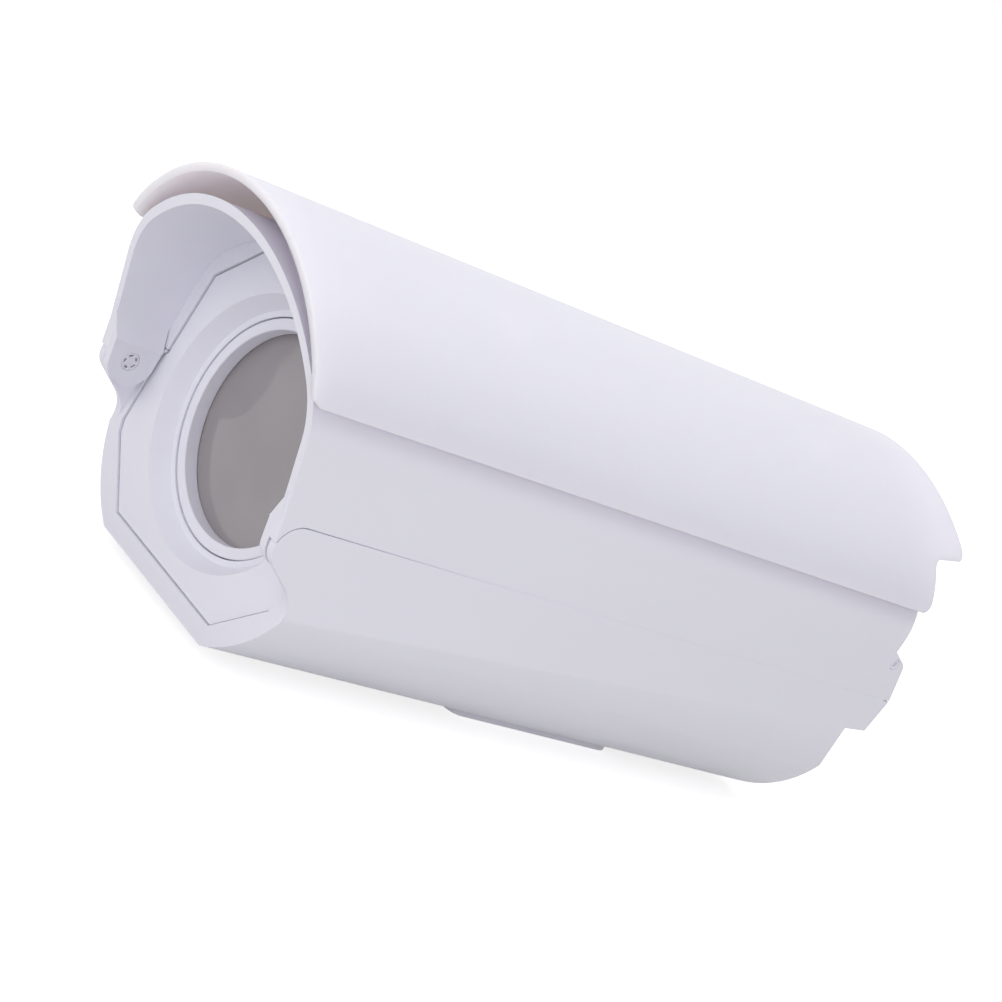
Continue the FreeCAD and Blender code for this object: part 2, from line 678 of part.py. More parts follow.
def lock_post():
    """Upright inside the rear lug with a slot, open at the top, for the lock screw."""
    inner = INNER_HALF - TONGUE_GAP - LOCK_POST_THICKNESS
    front = REAR_FACE + FLAT_GAP
    rear = front + LOCK_POST_LENGTH
    foot = SEAM_HEIGHT - LUG_DROP + LUG_FOOT_RISE
    low = box(inner, INNER_HALF + OVERCUT, front, rear, foot, SEAM_HEIGHT - LOCK_POST_STEP)
    top = COVER_BOTTOM + LOCK_POST_RISE
    high = box(inner, INNER_HALF - TONGUE_GAP, front, rear, foot, top)
    half = LOCK_SLOT_WIDTH / 2
    slot = rod_x(half, inner - OVERCUT, INNER_HALF, LOCK_Y, LOCK_Z)
    mouth = box(inner - OVERCUT, INNER_HALF, LOCK_Y - half, LOCK_Y + half, LOCK_Z, top + OVERCUT)
    return low.fuse(high).cut(slot).cut(mouth)


def lower_lug():
    foot = SEAM_HEIGHT - LUG_DROP
    outline = [
        (REAR_FACE - OVERCUT, SEAM_HEIGHT),
        (REAR_FACE + LUG_LENGTH, SEAM_HEIGHT),
        (REAR_FACE + LUG_FOOT_BACK, foot + LUG_FOOT_RISE),
        (REAR_FACE, foot),
        (REAR_FACE - OVERCUT, foot),
    ]
    return along_x(outline, INNER_HALF, HALF_WIDTH)


def seam_ledge():
    top = SEAM_HEIGHT - LEDGE_DROP
    front = CAP_RIM_BACK + LEDGE_END_MARGIN
    rear = RIB_FRONT + OVERCUT
    return box(INNER_HALF - LEDGE_WIDTH, INNER_HALF + OVERCUT, front, rear, top - LEDGE_THICKNESS, top)


def lower_body():
    shell = along_y(lower_section(0, SEAM_HEIGHT), FRONT_FACE, REAR_FACE)
    space = along_y(lower_section(WALL, SEAM_HEIGHT + OVERCUT), FRONT_FACE - OVERCUT, REAR_FACE + OVERCUT)
    trough = shell.cut(space)
    lip = along_y(lower_section(WALL / 2, SEAM_HEIGHT), FRONT_FACE, LIP_BACK)
    lip = lip.cut(along_y(cap_outline(CAP_GROOVE), FRONT_FACE - OVERCUT, LIP_BACK + OVERCUT))
    rib = along_y(lower_section(WALL / 2, SEAM_HEIGHT), RIB_FRONT, RIB_BACK)
    inside = lower_section(WALL + REAR_RIB_WIDTH, SEAM_HEIGHT + OVERCUT)
    rib = rib.cut(along_y(inside, RIB_FRONT - OVERCUT, RIB_BACK + OVERCUT))
    side_parts = [front_ear(), rail(), lock_post(), lower_lug(), seam_ledge()]
    parts = [trough, lip, rib]
    for part in side_parts:
        parts += both_sides(part)
    for x, z in rear_screw_places():
        parts.append(rod_y(REAR_BOSS_RADIUS, REAR_BOSS_FRONT, RIB_BACK, x, z))
    for x, y in cap_screw_places():
        parts.append(rod_z(CAP_BOSS_RADIUS, FLOOR_TOP - OVERCUT, CAP_FOOT_UNDERSIDE, x, y))
    return fused(parts).cut(Part.makeCompound(lower_body_holes()))


def lower_body_holes():
    """Screw holes of the trough and the blind bores for the hinge pins."""
    m3 = M3_RADIUS + SCREW_FIT
    m4 = M4_RADIUS + SCREW_FIT
    holes = []
    for x, z in rear_screw_places():
        holes.append(rod_y(m3, REAR_BOSS_FRONT - OVERCUT, RIB_BACK + OVERCUT, x, z))
    for x, y in cap_screw_places():
        holes.append(rod_z(m3, FLOOR_TOP - CAP_HOLE_DEPTH, CAP_FOOT_UNDERSIDE + OVERCUT, x, y))
    for x, y in backing_screw_places():
        holes.append(rod_z(m4, 0, FLOOR_TOP + OVERCUT, x, y))
    bore_end = INNER_HALF + PIN_DEPTH_IN_EAR
    holes += both_sides(rod_x(PIN_RADIUS, INNER_HALF - OVERCUT, bore_end, PIVOT_Y, PIVOT_Z))
    return holes


def window_rod(radius, y0, y1):
    return rod_y(radius, y0, y1, 0, AXIS_HEIGHT)


def front_cap():
    face = along_y(cap_outline(0), CAP_FACE, CAP_RIM_FRONT + OVERCUT)
    rim = along_y(full_section(WALL + CAP_INSET), CAP_RIM_FRONT, CAP_RIM_BACK)
    foot_front = CAP_RIM_BACK - OVERCUT
    half = CAP_FOOT_HALF
    foot = box(-half, half, foot_front, CAP_FOOT_BACK, CAP_FOOT_UNDERSIDE, CAP_FOOT_TOP)
    pocket = along_y(cap_outline(-CAP_POCKET_MARGIN), CAP_RIM_FRONT, CAP_RIM_BACK + OVERCUT)
    tube_radius = WINDOW_BORE_RADIUS + WINDOW_TUBE_WALL
    tube = window_rod(tube_radius, CAP_RIM_FRONT - OVERCUT, LEDGE_BACK)
    body = fused([fused([face, rim]).cut(pocket), tube, foot])
    recess = Part.makeCone(RECESS_MOUTH_RADIUS, RECESS_FOOT_RADIUS, RECESS_DEPTH,
                           V(0, CAP_FACE, AXIS_HEIGHT), V(0, 1, 0))
    bore = window_rod(WINDOW_BORE_RADIUS, CAP_FACE, GASKET_BACK)
    hole = window_rod(WINDOW_LEDGE_RADIUS, CAP_FACE, LEDGE_BACK + OVERCUT)
    body = body.cut(recess).cut(bore).cut(hole)
    low, high = CAP_FOOT_UNDERSIDE - OVERCUT, CAP_FOOT_TOP + OVERCUT
    for x, y in cap_screw_places():
        body = body.cut(rod_z(M3_RADIUS + SCREW_FIT, low, high, x, y))
    return body


def front_seal():
    outer = along_y(full_section(WALL + CAP_INSET), LIP_BACK, CAP_RIM_FRONT)
    return outer.cut(along_y(cap_outline(CAP_GROOVE), LIP_BACK - OVERCUT, CAP_RIM_FRONT + OVERCUT))


def front_cap_screws():
    length = CAP_FOOT_TOP - FLOOR_TOP
    screws = []
    for x, y in cap_screw_places():
        screws.append(screw_along(M3_SIZES, length, (x, y, CAP_FOOT_TOP), DOWN))
    return Part.makeCompound(screws)


def window_ring():
    radius = WINDOW_BORE_RADIUS - RING_FIT
    ring = window_rod(radius, RING_FACE, GLASS_FRONT)
    return ring.cut(window_rod(radius - RING_WIDTH, RING_FACE - OVERCUT, GLASS_FRONT + OVERCUT))


def window_glass():
    return window_rod(WINDOW_BORE_RADIUS - GLASS_FIT, GLASS_FRONT, GLASS_BACK)


def window_gasket():
    outer = window_rod(WINDOW_BORE_RADIUS - GLASS_FIT, GLASS_BACK, GASKET_BACK)
    return outer.cut(window_rod(WINDOW_LEDGE_RADIUS, GLASS_BACK - OVERCUT, GASKET_BACK + OVERCUT))


def flange_front():
    """Where the flange of the cover starts, so that it swings clear over the front cap."""
    inner = INNER_HALF - LEDGE_WIDTH
    radius = ARCH_CORNER_RADIUS - WALL - CAP_INSET
    across = inner - (HALF_WIDTH - ARCH_CORNER_RADIUS)
    rim_top = ARCH_SPRING + math.sqrt(max(radius ** 2 - across ** 2, 0))
    swing = math.hypot(CAP_RIM_BACK - PIVOT_Y, rim_top - PIVOT_Z)
    return PIVOT_Y + swing + FLANGE_SWING_CLEARANCE


def cover_side_outline():
    """Side view of the cover: raked visor, low front corner, lugs at the rear."""
    top = COVER_BOTTOM + REACH
    corner_z = COVER_BOTTOM + VISOR_CORNER_RISE
    high_front = VISOR_FRONT - VISOR_RAKE * (top - corner_z)
    return [
        (VISOR_FRONT + VISOR_CORNER_RUN, COVER_BOTTOM),
        (VISOR_FRONT, corner_z),
        (high_front, top),
        (REAR_FACE, top),
        (REAR_FACE, COVER_BOTTOM + LUG_TOP_RISE),
        (REAR_FACE + LUG_SHOULDER_BACK, COVER_BOTTOM + LUG_SHOULDER_RISE),
        (REAR_FACE + LUG_LENGTH, COVER_BOTTOM),
    ]


def upper_cover():
    start = VISOR_FRONT - REACH
    end = REAR_FACE + LUG_LENGTH + OVERCUT
    shell = along_y(cover_section(0, COVER_BOTTOM), start, end)
    space = along_y(cover_section(WALL, COVER_BOTTOM - OVERCUT), start - OVERCUT, end + OVERCUT)
    side = along_x(cover_side_outline(), -HALF_WIDTH - OVERCUT, HALF_WIDTH + OVERCUT)
    shoulder = crosswise_edges(side, COVER_BOTTOM + LUG_SHOULDER_RISE)
    side = side.makeFillet(LUG_SHOULDER_RADIUS, shoulder)
    shell = shell.cut(space).common(side)
    lip = along_y(cover_section(WALL / 2, COVER_BOTTOM), FRONT_FACE, LIP_BACK)
    lip = lip.cut(along_y(cap_outline(CAP_GROOVE), FRONT_FACE - OVERCUT, LIP_BACK + OVERCUT))
    rib = along_y(cover_section(WALL / 2, COVER_BOTTOM), RIB_FRONT, RIB_BACK)
    inside = cover_section(WALL + REAR_RIB_WIDTH, COVER_BOTTOM - OVERCUT)
    rib = rib.cut(along_y(inside, RIB_FRONT - OVERCUT, RIB_BACK + OVERCUT))
    parts = [shell, lip, rib]
    for part in (cover_flange(), tongue(), cheek()):
        parts += both_sides(part)
    for x, y in shield_screw_places():
        parts.append(rod_z(COVER_PAD_RADIUS, COVER_PAD_FOOT, COVER_PAD_TOP, x, y))
    return fused(parts).cut(Part.makeCompound(upper_cover_holes()))


def cover_flange():
    """Flange inside the lower edge of the cover, which presses on the seam gasket."""
    inner, root = INNER_HALF - LEDGE_WIDTH, INNER_HALF + OVERCUT
    rear = RIB_FRONT + OVERCUT
    return box(inner, root, flange_front(), rear, COVER_BOTTOM, COVER_BOTTOM + LEDGE_THICKNESS)


def upper_cover_holes():
    """Holes of the cover for the sunshield screws, the hinge pins and the lock screws."""
    holes = []
    for x, y in shield_screw_places():
        holes.append(rod_z(M4_RADIUS + SCREW_FIT, COVER_BOTTOM, COVER_BOTTOM + REACH, x, y))
    pin_hole = PIN_RADIUS + PIN_FIT
    holes += both_sides(rod_x(pin_hole, TONGUE_INNER - OVERCUT, PIN_HOLE_END, PIVOT_Y, PIVOT_Z))
    lock_hole = LOCK_SCREW_RADIUS + SCREW_FIT
    head_hole = LOCK_HEAD_RADIUS + LOCK_HEAD_FIT
    outside = HALF_WIDTH + OVERCUT
    holes += both_sides(rod_x(lock_hole, INNER_HALF - OVERCUT, outside, LOCK_Y, LOCK_Z))
    holes += both_sides(rod_x(head_hole, LOCK_SEAT, outside, LOCK_Y, LOCK_Z))
    return holes


def cover_seal_strip():
    """Gasket on the ledge of the trough, under the flange of the cover."""
    foot = SEAM_HEIGHT - LEDGE_DROP
    inner = INNER_HALF - LEDGE_WIDTH
    outer = INNER_HALF - SEAM_GASKET_FIT
    front = CAP_RIM_BACK + LEDGE_END_MARGIN
    return box(inner, outer, front, RIB_FRONT, foot, COVER_BOTTOM - SEAM_GASKET_FIT)


def hinge_pin():
    """Pin pressed from inside through the tongue into the blind bore of the ear.

    Its face is flush with the tongue and has a ring of arc slots.
    """
    pin = rod_x(PIN_RADIUS, TONGUE_INNER, INNER_HALF + PIN_DEPTH_IN_EAR, PIVOT_Y, PIVOT_Z)
    centre = V(TONGUE_INNER, PIVOT_Y, PIVOT_Z)
    way = V(1, 0, 0)
    wedge = Part.makeCylinder(PIN_SLOT_OUTER_RADIUS, PIN_SLOT_DEPTH, centre, way, PIN_SLOT_ANGLE)
    slot = wedge.cut(Part.makeCylinder(PIN_SLOT_INNER_RADIUS, PIN_SLOT_DEPTH, centre, way))
    for i in range(PIN_SLOTS):
        turned = slot.copy()
        turned.rotate(centre, way, 360.0 * i / PIN_SLOTS)
        pin = pin.cut(turned)
    return pin


def lock_screw():
    length = LOCK_SEAT - LOCK_NUT_INNER + LOCK_SCREW_END
    sizes = (LOCK_SCREW_RADIUS, LOCK_HEAD_RADIUS, LOCK_HEAD_HEIGHT)
    return screw_along(sizes, length, (LOCK_SEAT, LOCK_Y, LOCK_Z), (-1, 0, 0))


def lock_nut():
    """Hexagon nut on the inside of the post; it is made along Y and turned across the tube."""
    nut = hex_along_y(LOCK_NUT_WIDTH, LOCK_NUT_INNER, LOCK_NUT_OUTER, 0, 0)
    nut.rotate(V(0, 0, 0), V(0, 0, 1), -90)
    nut.translate(V(0, LOCK_Y, LOCK_Z))
    start, end = LOCK_NUT_INNER - OVERCUT, LOCK_NUT_OUTER + OVERCUT
    return nut.cut(rod_x(LOCK_SCREW_RADIUS + SCREW_FIT, start, end, LOCK_Y, LOCK_Z))


def rear_cap():
    plate = along_y(full_section(WALL + CAP_INSET), REAR_CAP_FRONT, REAR_CAP_BACK)
    front, back = REAR_CAP_FRONT - OVERCUT, REAR_CAP_BACK + OVERCUT
    holes = []
    for x, z in rear_screw_places():
        holes.append(rod_y(M3_RADIUS + SCREW_FIT, front, back, x, z))
    for x in (-GLAND_HALF_SPAN, GLAND_HALF_SPAN):
        holes.append(rod_y(GLAND_HOLE_RADIUS, front, back, x, GLAND_HEIGHT))
    return plate.cut(Part.makeCompound(holes))


def rear_seal():
    back = REAR_CAP_FRONT - REAR_SEAL_FIT
    outer = along_y(full_section(WALL + CAP_INSET), RIB_BACK, back)
    inside = full_section(WALL + REAR_RIB_WIDTH)
    return outer.cut(along_y(inside, RIB_BACK - OVERCUT, back + OVERCUT))


def rear_cap_screws():
    length = REAR_CAP_BACK - REAR_BOSS_FRONT - REAR_SCREW_STOP
    screws = []
    for x, z in rear_screw_places():
        screws.append(screw_along(M3_SIZES, length, (x, REAR_CAP_BACK, z), (0, -1, 0)))
    return Part.makeCompound(screws)


def gland_body(x):
    """Threaded sleeve with a hexagon outside the rear cap."""
    z = GLAND_HEIGHT
    shank_front = REAR_CAP_FRONT - GLAND_LOCKNUT_THICKNESS - GLAND_THREAD_END
    shank = rod_y(GLAND_THREAD_RADIUS, shank_front, REAR_CAP_BACK + OVERCUT, x, z)
    flange = hex_along_y(GLAND_HEX, REAR_CAP_BACK, GLAND_HEX_BACK, x, z)
    neck = rod_y(GLAND_THREAD_RADIUS, GLAND_HEX_BACK - OVERCUT, GLAND_NECK_BACK, x, z)
    body = fused([shank, flange, neck])
    bore = rod_y(GLAND_CABLE_RADIUS, shank_front - OVERCUT, GLAND_HEX_BACK, x, z)
    seat = rod_y(GLAND_SEAL_RADIUS, GLAND_HEX_BACK, GLAND_NECK_BACK + OVERCUT, x, z)
    return body.cut(bore).cut(seat)


def gland_seal(x):
    z = GLAND_HEIGHT
    seal = rod_y(GLAND_SEAL_RADIUS, GLAND_HEX_BACK, GLAND_NECK_BACK, x, z)
    start, end = GLAND_HEX_BACK - OVERCUT, GLAND_NECK_BACK + OVERCUT
    return seal.cut(rod_y(GLAND_CABLE_RADIUS, start, end, x, z))


def gland_nut(x):
    """Dome nut over the neck of the gland, with a mouth for the cable."""
    z = GLAND_HEIGHT
    front = GLAND_HEX_BACK + GLAND_NUT_FIT
    back = front + GLAND_NUT_LENGTH
    prism = hex_along_y(GLAND_HEX, front, back, x, z)
    dome = Part.makeSphere(GLAND_NUT_DOME_RADIUS, V(x, front - GLAND_NUT_DOME_SHIFT, z))
    nut = prism.common(dome)
    cavity_end = GLAND_NECK_BACK + GLAND_NUT_FIT
    cavity = rod_y(GLAND_HOLE_RADIUS, front - OVERCUT, cavity_end, x, z)
    mouth = rod_y(GLAND_NUT_MOUTH_RADIUS, front, back + OVERCUT, x, z)
    return nut.cut(cavity).cut(mouth)


def gland_locknut(x):
    back = REAR_CAP_FRONT
    front = back - GLAND_LOCKNUT_THICKNESS
    nut = hex_along_y(GLAND_HEX, front, back, x, GLAND_HEIGHT)
    return nut.cut(rod_y(GLAND_HOLE_RADIUS, front - OVERCUT, back + OVERCUT, x, GLAND_HEIGHT))


def rounded_plate(width, length, corner, z0, z1):
    plate = box(-width / 2, width / 2, -length / 2, length / 2, z0, z1)
    upright = [e for e in plate.Edges if abs(e.Vertexes[0].Z - e.Vertexes[1].Z) > (z1 - z0) / 2]
    return plate.makeFillet(corner, upright)


def mount_plate():
    top = MOUNT_PLATE_THICKNESS
    plate = rounded_plate(MOUNT_PLATE_WIDTH, MOUNT_PLATE_LENGTH, MOUNT_PLATE_CORNER, 0, top)
    for y in mount_thread_places():
        plate = plate.cut(rod_z(MOUNT_THREAD_RADIUS, -OVERCUT, top + OVERCUT, 0, y))
    for x, y in backing_screw_places():
        plate = plate.cut(rod_z(M4_RADIUS + SCREW_FIT, BACKING_SCREW_STOP, top + OVERCUT, x, y))
    return plate


def backing_plate():
    top = BACKING_TOP
    plate = rounded_plate(BACKING_WIDTH, BACKING_LENGTH, MOUNT_PLATE_CORNER, FLOOR_TOP, top)
    for x, y in backing_screw_places():
        plate = plate.cut(rod_z(M4_RADIUS + SCREW_FIT, FLOOR_TOP - OVERCUT, top + OVERCUT, x, y))
    return plate


def mount_plate_screws():
    length = BACKING_TOP - BACKING_SCREW_STOP - FLAT_GAP
    screws = []
    for x, y in backing_screw_places():
        screws.append(screw_along(M4_SIZES, length, (x, y, BACKING_TOP), DOWN))
    return Part.makeCompound(screws)


def camera_tray():
    half = RAIL_INNER_HALF - TRAY_SIDE_FIT
    foot = RAIL_GROOVE_HEIGHT + TRAY_FIT
    top = foot + TRAY_THICKNESS
    tray = box(-half, half, TRAY_FRONT, TRAY_FRONT + TRAY_LENGTH, foot, top)
    middle = TRAY_FRONT + TRAY_LENGTH / 2
    reach = CAMERA_SCREW_RADIUS + TRAY_SLOT_FIT
    span = TRAY_SLOT_LENGTH / 2
    low, high = foot - OVERCUT, top + OVERCUT
    tray = tray.cut(box(-reach, reach, middle - span, middle + span, low, high))
    for end in (middle - span, middle + span):
        tray = tray.cut(rod_z(reach, low, high, 0, end))
    return tray


def camera_screw():
    """Screw that holds the camera, with its head under the slot of the tray."""
    head_top = RAIL_GROOVE_HEIGHT
    head_foot = head_top - CAMERA_SCREW_HEAD_HEIGHT
    end = head_top + CAMERA_SCREW_LENGTH
    shank = rod_z(CAMERA_SCREW_RADIUS, head_top - OVERCUT, end, 0, CAMERA_SCREW_Y)
    head = rod_z(CAMERA_SCREW_HEAD_RADIUS, head_foot, head_top, 0, CAMERA_SCREW_Y)
    return head.fuse(shank).removeSplitter()


def shield_section(inset):
    """Closed section under the arch of the sunshield, down to the seam."""
    bottom = COVER_BOTTOM
    half = SHIELD_HALF_WIDTH - inset
    spring = COVER_BOTTOM + SHIELD_SPRING_RISE
    edges = [
        line(V(-half, 0, bottom), V(half, 0, bottom)),
        line(V(half, 0, bottom), V(half, 0, spring)),
        line(V(-half, 0, spring), V(-half, 0, bottom)),
    ]
    edges += arch_edges(SHIELD_HALF_WIDTH, SHIELD_ARCH_HEIGHT, SHIELD_ARCH_CORNER_RADIUS, spring, inset)
    return Part.Wire(Part.__sortEdges__(edges))


def crosswise_edges(solid, height):
    """Edges of a side view solid that run across the tube at the given height."""
    found = []
    for edge in solid.Edges:
        ends = [vertex.Point for vertex in edge.Vertexes]
        if len(ends) != 2 or abs(ends[0].x - ends[1].x) < HALF_WIDTH:
            continue
        if abs(ends[0].z - height) < SAME_PLACE:
            found.append(edge)
    return found


def shield_side_solid():
    """Side view of the sunshield as a solid across the tube, with rounded corners."""
    low = COVER_BOTTOM + SHIELD_EDGE_RISE
    step = COVER_BOTTOM + SHIELD_REAR_STEP_RISE
    top = COVER_BOTTOM + REACH
    front = FRONT_FACE - SHIELD_FRONT_OVERHANG
    high_front = front - SHIELD_FRONT_RAKE * (top - low)
    low_back = REAR_FACE + SHIELD_REAR_OVERHANG
    step_back = REAR_FACE + SHIELD_REAR_STEP_LENGTH
    tip = step + SHIELD_REAR_STEP_SLOPE
    high_back = step_back - SHIELD_REAR_RAKE * (top - tip)
    outline = [
        (front, low),
        (high_front, top),
        (high_back, top),
        (step_back, tip),
        (low_back, step),
        (low_back, low),
    ]
    half = SHIELD_HALF_WIDTH + OVERCUT
    solid = along_x(outline, -half, half)
    solid = solid.makeFillet(SHIELD_CORNER_RADIUS, crosswise_edges(solid, low))
    step_edges = crosswise_edges(solid, step) + crosswise_edges(solid, tip)
    return solid.makeFillet(SHIELD_STEP_RADIUS, step_edges)


def sunshield():
    y0 = FRONT_FACE - REACH
    y1 = REAR_FACE + SHIELD_REAR_STEP_LENGTH + OVERCUT
    shell = along_y(shield_section(0), y0, y1)
    space = along_y(shield_section(SHIELD_THICKNESS), y0 - OVERCUT, y1 + OVERCUT)
    shell = shell.cut(space).common(shield_side_solid())
    core = along_y(shield_section(SHIELD_SKIN), y0, y1)
    bosses = []
    for x, y in shield_screw_places():
        boss = rod_z(SHIELD_BOSS_RADIUS, COVER_PAD_TOP, COVER_PAD_TOP + REACH, x, y)
        bosses.append(boss.common(core))
    shield = fused([shell] + bosses)
    low, high = COVER_PAD_TOP - OVERCUT, SHIELD_SCREW_TOP + FLAT_GAP
    for x, y in shield_screw_places():
        shield = shield.cut(rod_z(M4_RADIUS + SCREW_FIT, low, high, x, y))
    return shield


def sunshield_screws():
    screws = []
    for x, y in shield_screw_places():
        screws.append(screw_along(M4_SIZES, SHIELD_SCREW_LENGTH, (x, y, COVER_PAD_FOOT), (0, 0, 1)))
    return Part.makeCompound(screws)


def export(name, shape):
    os.makedirs("parts", exist_ok=True)
    shape.exportStep(os.path.join("parts", name + ".step"))


def main():
    export("lower_body", lower_body())
    export("front_cap", front_cap())
    export("front_seal", front_seal())
    export("front_cap_screws", front_cap_screws())
    export("window_ring", window_ring())
    export("window_glass", window_glass())
    export("window_gasket", window_gasket())
    export("rear_cap", rear_cap())
    export("rear_seal", rear_seal())
    export("rear_cap_screws", rear_cap_screws())
    export("upper_cover", upper_cover())
    export("sunshield", sunshield())
    export("sunshield_screws", sunshield_screws())
    export("mount_plate", mount_plate())
    export("backing_plate", backing_plate())
    export("mount_plate_screws", mount_plate_screws())
    export("camera_tray", camera_tray())
    export("camera_screw", camera_screw())
    for name, side in (("left", -1), ("right", 1)):
        for piece, make in (("cover_seal", cover_seal_strip), ("hinge_pin", hinge_pin),
                            ("lock_screw", lock_screw), ("lock_nut", lock_nut)):
            shape = make()
            export(piece + "_" + name, shape if side > 0 else mirrored(shape))
        x = side * GLAND_HALF_SPAN
        export("gland_body_" + name, gland_body(x))
        export("gland_seal_" + name, gland_seal(x))
        export("gland_nut_" + name, gland_nut(x))
        export("gland_locknut_" + name, gland_locknut(x))


main()
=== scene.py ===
"""Looks of the camera housing: materials, edge rounding, seam trim, lights, floor and camera.

Metres, in the frame of the CAD source: Z is up, the window looks along -Y, and X is across.
"""
import bmesh
import bpy
import json
import math
from mathutils import Matrix, Vector

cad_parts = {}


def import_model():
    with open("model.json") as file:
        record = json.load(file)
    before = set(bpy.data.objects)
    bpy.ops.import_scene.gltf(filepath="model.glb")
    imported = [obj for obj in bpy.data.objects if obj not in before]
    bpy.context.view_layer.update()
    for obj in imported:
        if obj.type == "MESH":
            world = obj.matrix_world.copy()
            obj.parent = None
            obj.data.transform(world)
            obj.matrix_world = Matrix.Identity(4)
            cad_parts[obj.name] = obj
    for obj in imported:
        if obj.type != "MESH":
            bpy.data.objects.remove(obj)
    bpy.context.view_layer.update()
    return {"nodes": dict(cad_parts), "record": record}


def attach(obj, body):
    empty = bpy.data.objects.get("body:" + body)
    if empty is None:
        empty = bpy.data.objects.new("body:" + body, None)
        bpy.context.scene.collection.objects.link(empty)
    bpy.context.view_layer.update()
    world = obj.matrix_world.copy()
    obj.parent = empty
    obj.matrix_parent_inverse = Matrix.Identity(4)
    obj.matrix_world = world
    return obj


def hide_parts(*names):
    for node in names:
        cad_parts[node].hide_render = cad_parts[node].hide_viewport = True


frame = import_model()
nodes = frame["nodes"]

# Camera: a 104 mm lens on a 36 mm sensor, rolled about 32 degrees
CAMERA_PLACE = (0.616339, -0.682313, 0.287296)
CAMERA_RIGHT = (0.517692, 0.679641, 0.519696)
CAMERA_UP = (-0.529129, -0.222996, 0.818716)
CAMERA_BACK = (0.672323, -0.698829, 0.244174)
CAMERA_LENS = 103.64
CAMERA_SENSOR = 36.0

# Square studio lamps, as (name, place, target, side, watts)
LIGHTS = [
    ("overhead", (0.1, -0.1, 1.3), (0, 0, 0.06), 1.2, 9.0),
    ("front", (-0.1, -1.3, 0.5), (0, -0.1, 0.06), 0.9, 4.5),
    ("fill", (1.2, -0.6, 0.35), (0, 0, 0.06), 0.7, 3.0),
]
WORLD_LIGHT = 0.5
WORLD_SEEN = 1.0
FLOOR_GREY = 0.60
FLOOR_SEEN = 0.74
FLOOR_REACH = 12.0
FLOOR_DROP = 0.0001

WHITE = (0.840, 0.832, 0.915)
# The shield's white in two tones: the outer one is darker than the shell's, painted shade where the
# light from above falls strongest; the inner one is lighter and warmer, a painted warm glow in the
# gap beneath the shield
SHIELD_OUTSIDE_PAINTED_SHADE = (0.785, 0.752, 0.850)
SHIELD_INSIDE_PAINTED_GLOW = (0.91, 0.82, 0.95)
# Share of the light that goes into a thin sheet, on its inner and its outer side
SHEET_GLOW_INSIDE = 0.9
SHEET_GLOW_OUTSIDE = 0.5
# What faces outward by less than this, such as its edges, looks as its inner side does
OUTWARD_MARGIN = 0.005

# The sockets of a Mix node that carry colours, which share their names with others
MIX_FROM, MIX_TO, MIX_RESULT = 6, 7, 2

# Scale of the noise on each axis: the same, or drawn out along the tube
EVEN = (1, 1, 1)
ALONG_TUBE = (1, 0.25, 1)
BRUSHED_ALONG = (1, 0.05, 1)

# Places repeated from the CAD source: side of the tube, middle and half width of the seam,
# back of the front lip and face of the front cap
SIDE = 0.0562
SEAM = 0.0583
SEAM_HALF_GAP = 0.0002
LIP_BACK = -0.1464
CAP_FACE = -0.1486
# Right half of the front cap's raised face, from the floor up, as (x, z)
CAP_HALF_OUTLINE = [
    (0.0307, 0.0105),
    (0.0491, 0.0283),
    (0.0507, 0.0320),
    (0.0507, 0.0553),
    (0.0489, 0.0577),
    (0.0480, 0.0859),
    (0.0304, 0.10636),
]

# How far the edges of the pieces are rounded
SHELL_EDGE = 0.0004
EDGES = {
    "sunshield": 0.0009,
    "upper_cover": SHELL_EDGE,
    "lower_body": SHELL_EDGE,
    "front_cap": 0.0004,
    "window_ring": 0.0005,
    "mount_plate": 0.0004,
    "rear_cap": 0.0004,
    "hinge_pin_left": 0.0002,
    "hinge_pin_right": 0.0002,
    "gland_body_left": 0.0003,
    "gland_body_right": 0.0003,
    "gland_nut_left": 0.0003,
    "gland_nut_right": 0.0003,
    "lock_screw_left": 0.0002,
    "lock_screw_right": 0.0002,
    "camera_tray": 0.0003,
}
EDGE_SEGMENTS = 2
EDGE_ANGLE = math.radians(32)
FLAT_ANGLE = math.radians(0.4)
MERGE_DISTANCE = 1e-6

# How deep the face of the lip in the seam lies below the surface, from front to rear, as (y, depth)
SEAM_LIP = [
    (-0.158, 0.0009), (-0.150, 0.00075), (-0.140, 0.0006), (-0.125, 0.0004), (-0.110, 0.0003),
    (-0.095, 0.00022), (-0.080, 0.00014), (-0.060, 0.0001), (0.0, 0.00008), (0.1125, 0.00008),
]
# How deep the lip starts, half its thickness there, and its clearance at the mouth of the seam
LIP_ROOT = 0.0016
LIP_HALF_THICKNESS = 0.00018
LIP_FIT = 0.00001

# How deep the gasket lies in the groove round the front cap, at each corner of the half outline
GROOVE_DEPTH = [0.0005, 0.0006, 0.0007, 0.0009, 0.0016, 0.0016, 0.0014]
# The two sides of the gasket's edge, out from the outline
BEAD_INNER = 0.00002
BEAD_OUTER = 0.00048


def add_node(tree, kind, values=None, **settings):
    """New shader node with its settings, such as operation, and the values of its inputs."""
    node = tree.nodes.new("ShaderNode" + kind)
    for name, value in settings.items():
        setattr(node, name, value)
    for name, value in (values or {}).items():
        node.inputs[name].default_value = value
    return node


def new_material(name):
    material = bpy.data.materials.new(name)
    material.use_nodes = True
    tree = material.node_tree
    shader = tree.nodes["Principled BSDF"]
    return material, tree, shader


def noise(tree, scale, detail=2.0, roughness=0.5, stretch=EVEN):
    """Noise in the object's own coordinates, at so many cells a metre."""
    place = add_node(tree, "TexCoord")
    mapping = add_node(tree, "Mapping", {"Scale": stretch})
    texture = add_node(tree, "TexNoise", {"Scale": scale, "Detail": detail, "Roughness": roughness})
    tree.links.new(place.outputs["Object"], mapping.inputs["Vector"])
    tree.links.new(mapping.outputs["Vector"], texture.inputs["Vector"])
    return texture.outputs["Fac"]


